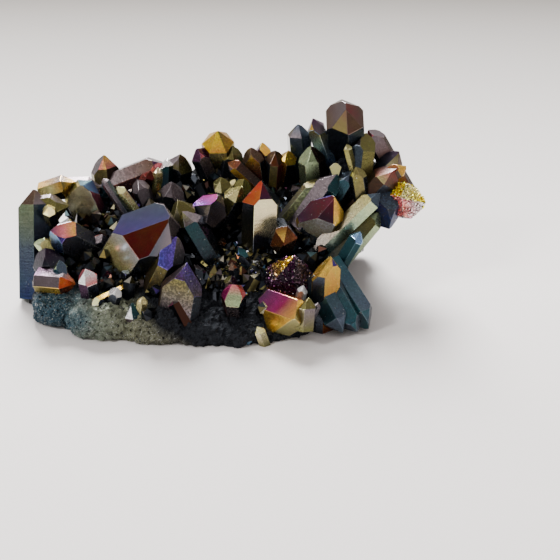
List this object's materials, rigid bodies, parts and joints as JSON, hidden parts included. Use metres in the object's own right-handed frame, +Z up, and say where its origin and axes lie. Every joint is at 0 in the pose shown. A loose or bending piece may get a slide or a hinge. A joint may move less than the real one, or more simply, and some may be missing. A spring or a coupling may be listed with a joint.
{
  "type": "crystal cluster",
  "caption": "Low matrix rock overgrown with metal-coated quartz points leaning every way, cut flat underneath so it rests on a shelf.",
  "frame": {"origin": "middle of the flat cut underneath, below the middle of the bounding box", "axes": "+X along the cluster's length, left to right as displayed; -Y toward the viewer; +Z up from the flat cut"},
  "size_m": [0.0824, 0.0468, 0.0382],
  "materials": {
    "coated_quartz": "iridescent metal film: gold, magenta, violet and blue mirror faces on crystals, satin and sugary on the rock"
  },
  "bodies": {
    "root": {"quartz_cluster": "coated_quartz"}
  },
  "joints": []
}
